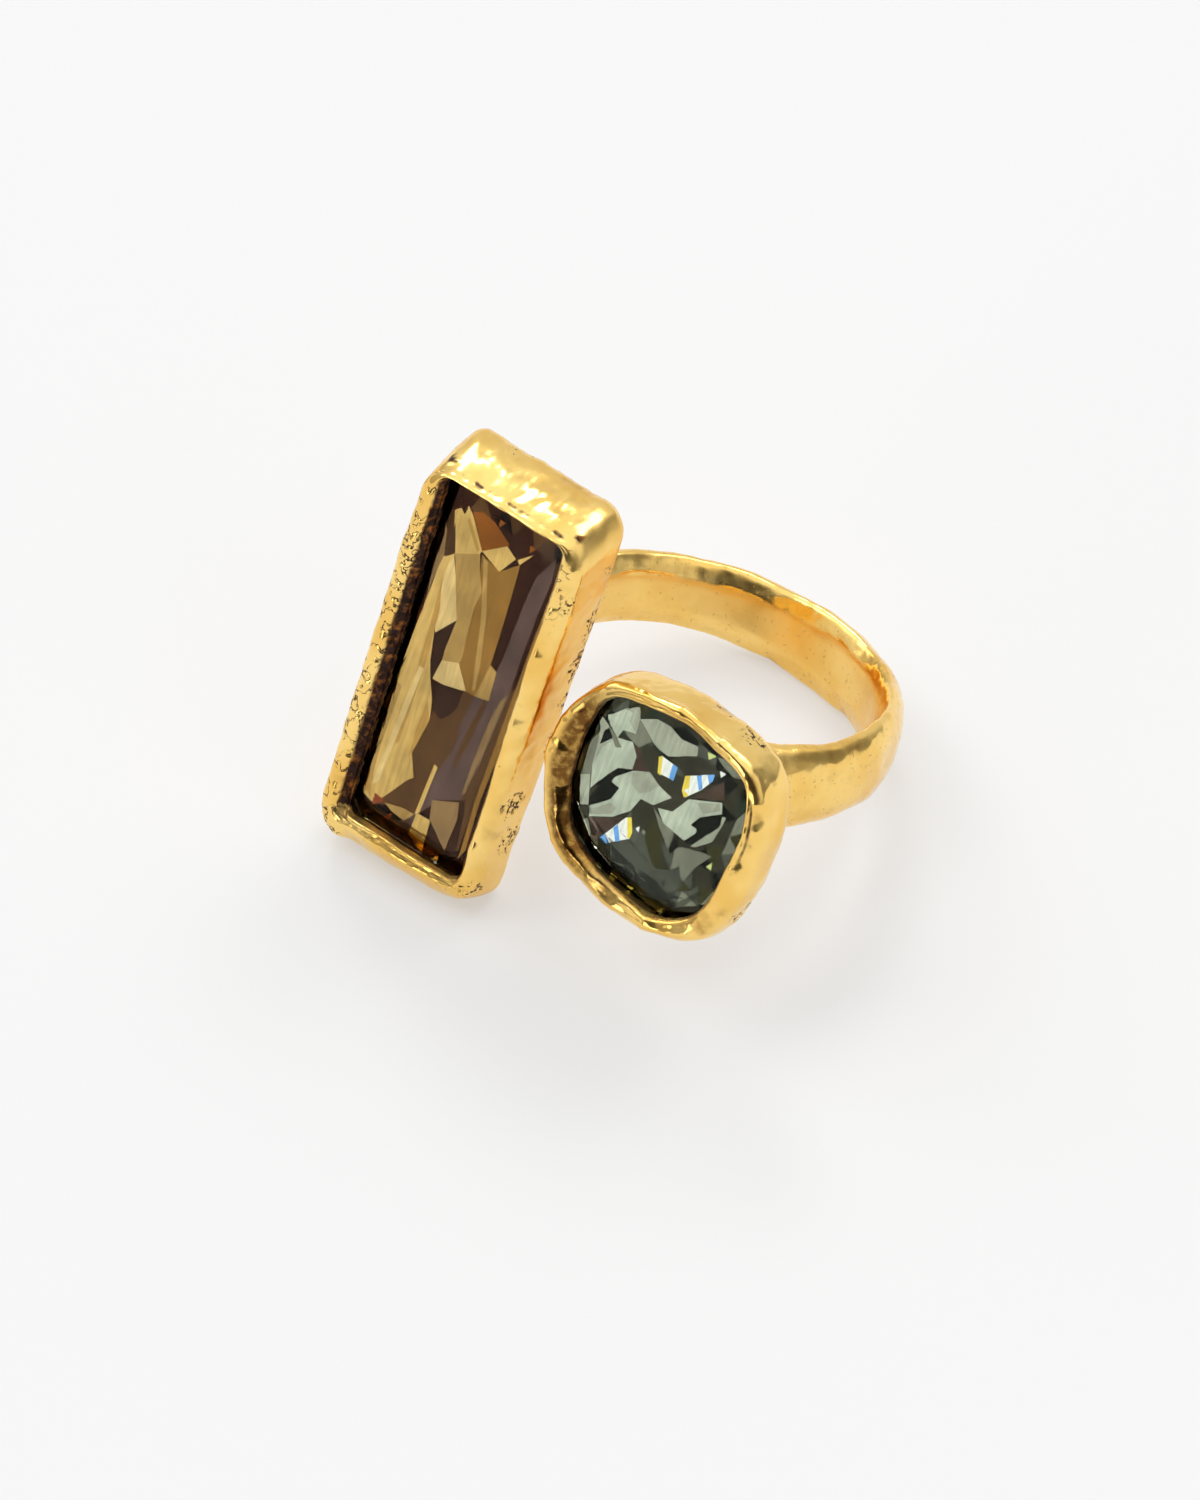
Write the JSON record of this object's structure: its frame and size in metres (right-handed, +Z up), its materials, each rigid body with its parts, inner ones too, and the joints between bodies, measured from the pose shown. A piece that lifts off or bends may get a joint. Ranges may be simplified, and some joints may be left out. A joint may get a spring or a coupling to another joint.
{
  "type": "gold-coloured open ring with two stones, which the request calls silver",
  "caption": "Open finger ring of gold-coloured metal with a tall rectangular stone and a rounded cushion stone, each set in a deep hand-worked wall, side by side on the front.",
  "frame": {"origin": "on the table, under the middle of the resting ring's bounding box", "axes": "+Z up off the table, +X to the viewer's right and +Y away from the viewer, with the stones facing the front left and upwards"},
  "size_m": [0.0306, 0.0284, 0.0234],
  "materials": {
    "metal": "polished gold colour, hammered, with dark brown in its pits",
    "brown_stone": "clear smoky brown, cut and polished",
    "grey_stone": "clear grey-green, cut and polished"
  },
  "bodies": {
    "root": {"band_with_settings": "metal", "long_stone": "brown_stone", "cushion_stone": "grey_stone"}
  },
  "joints": []
}
